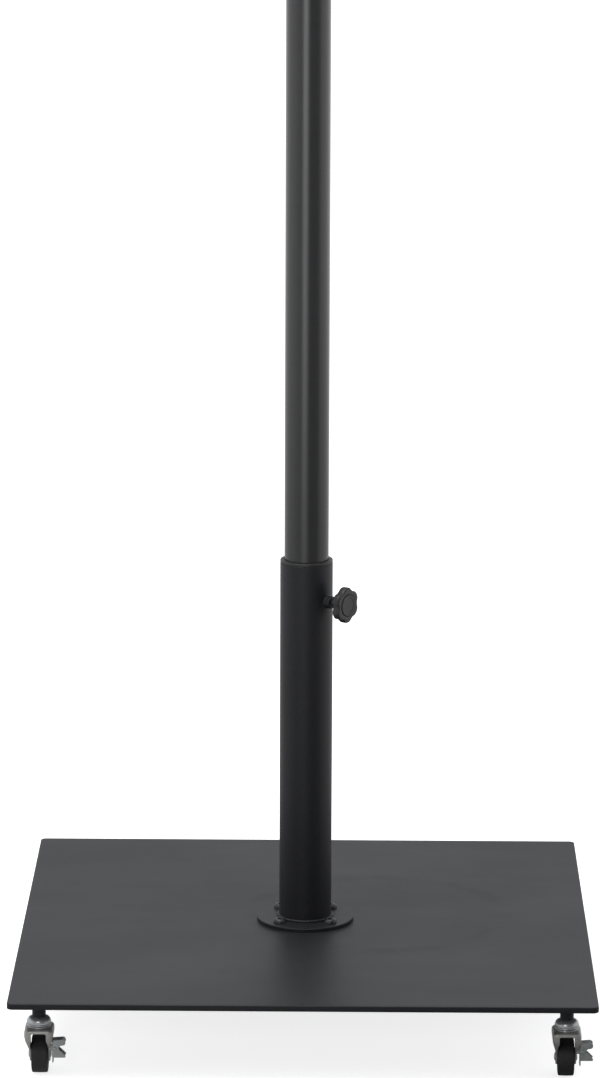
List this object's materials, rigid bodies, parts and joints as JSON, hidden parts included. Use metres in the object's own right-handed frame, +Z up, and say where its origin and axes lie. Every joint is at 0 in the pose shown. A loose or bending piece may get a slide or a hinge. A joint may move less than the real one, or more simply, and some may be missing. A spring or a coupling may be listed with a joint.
{
  "type": "wheeled telescoping pole stand",
  "caption": "Square steel base plate on braked swivel casters with a bolted flange, a socket tube and a telescoping pole held by a star-knob clamp screw.",
  "frame": {"origin": "on the floor, under the axis of the pole, at the middle of the base", "axes": "+Z up along the pole, -Y towards the front, +X to the right"},
  "size_m": [0.61, 0.6123, 1.1809],
  "materials": {
    "powder_coat": "dark grey textured powder coat",
    "pole_coat": "dark grey satin coat",
    "black_plastic": "black moulded plastic",
    "black_steel": "black oxide steel fastener",
    "zinc": "bright zinc plated pressed steel",
    "wheel_core": "black moulded nylon",
    "tyre": "black rubber tread"
  },
  "bodies": {
    "base": {"base_plate": "powder_coat", "flange_plate": "powder_coat", "flange_bolt_1": "black_steel", "flange_bolt_2": "black_steel", "flange_bolt_3": "black_steel", "flange_bolt_4": "black_steel", "flange_nut_1": "black_steel", "flange_nut_2": "black_steel", "flange_nut_3": "black_steel", "flange_nut_4": "black_steel", "socket_tube": "powder_coat", "weld_bead": "powder_coat", "collar": "black_plastic", "clamp_nut": "powder_coat", "front_left_boss": "powder_coat", "front_left_stem": "zinc", "front_left_cup": "zinc", "front_right_boss": "powder_coat", "front_right_stem": "zinc", "front_right_cup": "zinc", "rear_left_boss": "powder_coat", "rear_left_stem": "zinc", "rear_left_cup": "zinc", "rear_right_boss": "powder_coat", "rear_right_stem": "zinc", "rear_right_cup": "zinc"},
    "pole_foot": {"pole_bottom_plug": "black_plastic"},
    "pole": {"pole_tube": "pole_coat", "pole_top_plug": "black_plastic"},
    "clamp_screw": {"clamp_screw": "black_steel"},
    "clamp_knob": {"clamp_knob": "black_plastic", "knob_cap": "black_plastic"},
    "front_left_swivel": {"front_left_race": "zinc", "front_left_fork": "zinc", "front_left_axle": "zinc", "front_left_brake_pin": "zinc"},
    "front_left_roller": {"front_left_wheel": "wheel_core", "front_left_tyre": "tyre"},
    "front_left_lever": {"front_left_brake": "zinc"},
    "front_right_swivel": {"front_right_race": "zinc", "front_right_fork": "zinc", "front_right_axle": "zinc", "front_right_brake_pin": "zinc"},
    "front_right_roller": {"front_right_wheel": "wheel_core", "front_right_tyre": "tyre"},
    "front_right_lever": {"front_right_brake": "zinc"},
    "rear_left_swivel": {"rear_left_race": "zinc", "rear_left_fork": "zinc", "rear_left_axle": "zinc", "rear_left_brake_pin": "zinc"},
    "rear_left_roller": {"rear_left_wheel": "wheel_core", "rear_left_tyre": "tyre"},
    "rear_left_lever": {"rear_left_brake": "zinc"},
    "rear_right_swivel": {"rear_right_race": "zinc", "rear_right_fork": "zinc", "rear_right_axle": "zinc", "rear_right_brake_pin": "zinc"},
    "rear_right_roller": {"rear_right_wheel": "wheel_core", "rear_right_tyre": "tyre"},
    "rear_right_lever": {"rear_right_brake": "zinc"}
  },
  "joints": [
    {"name": "pole_height", "type": "slide", "parent": "base", "child": "pole_foot", "axis": [0, 0, 1], "range_m": [-0.065, 0.18]},
    {"name": "pole_turn", "type": "hinge", "parent": "pole_foot", "child": "pole", "pos_m": [0, 0, 0.6], "axis": [0, 0, 1], "continuous": true},
    {"name": "clamp_advance", "type": "slide", "parent": "base", "child": "clamp_screw", "axis": [0.809, -0.5878, 0], "range_m": [0, 0.003]},
    {"name": "clamp_turn", "type": "hinge", "parent": "clamp_screw", "child": "clamp_knob", "pos_m": [0.04045, -0.02939, 0.4459], "axis": [0.809, -0.5878, 0], "range_deg": [0, 1080]},
    {"name": "front_left_swivel_turn", "type": "hinge", "parent": "base", "child": "front_left_swivel", "pos_m": [-0.2733, -0.2733, 0.05], "axis": [0, 0, 1], "continuous": true},
    {"name": "front_left_wheel_roll", "type": "hinge", "parent": "front_left_swivel", "child": "front_left_roller", "pos_m": [-0.2733, -0.2593, 0.02], "axis": [1, 0, 0], "continuous": true},
    {"name": "front_left_brake_press", "type": "hinge", "parent": "front_left_swivel", "child": "front_left_lever", "pos_m": [-0.2573, -0.2733, 0.031], "axis": [0, 1, 0], "range_deg": [0, 18]},
    {"name": "front_right_swivel_turn", "type": "hinge", "parent": "base", "child": "front_right_swivel", "pos_m": [0.2733, -0.2733, 0.05], "axis": [0, 0, 1], "continuous": true},
    {"name": "front_right_wheel_roll", "type": "hinge", "parent": "front_right_swivel", "child": "front_right_roller", "pos_m": [0.2733, -0.2593, 0.02], "axis": [1, 0, 0], "continuous": true},
    {"name": "front_right_brake_press", "type": "hinge", "parent": "front_right_swivel", "child": "front_right_lever", "pos_m": [0.2893, -0.2733, 0.031], "axis": [0, 1, 0], "range_deg": [0, 18]},
    {"name": "rear_left_swivel_turn", "type": "hinge", "parent": "base", "child": "rear_left_swivel", "pos_m": [-0.2733, 0.2733, 0.05], "axis": [0, 0, 1], "continuous": true},
    {"name": "rear_left_wheel_roll", "type": "hinge", "parent": "rear_left_swivel", "child": "rear_left_roller", "pos_m": [-0.2733, 0.2873, 0.02], "axis": [1, 0, 0], "continuous": true},
    {"name": "rear_left_brake_press", "type": "hinge", "parent": "rear_left_swivel", "child": "rear_left_lever", "pos_m": [-0.2573, 0.2733, 0.031], "axis": [0, 1, 0], "range_deg": [0, 18]},
    {"name": "rear_right_swivel_turn", "type": "hinge", "parent": "base", "child": "rear_right_swivel", "pos_m": [0.2733, 0.2733, 0.05], "axis": [0, 0, 1], "continuous": true},
    {"name": "rear_right_wheel_roll", "type": "hinge", "parent": "rear_right_swivel", "child": "rear_right_roller", "pos_m": [0.2733, 0.2873, 0.02], "axis": [1, 0, 0], "continuous": true},
    {"name": "rear_right_brake_press", "type": "hinge", "parent": "rear_right_swivel", "child": "rear_right_lever", "pos_m": [0.2893, 0.2733, 0.031], "axis": [0, 1, 0], "range_deg": [0, 18]}
  ],
  "couplings": [
    {"joint": "clamp_advance", "follows": "clamp_turn", "m_per_rad": 0.00015915}
  ]
}
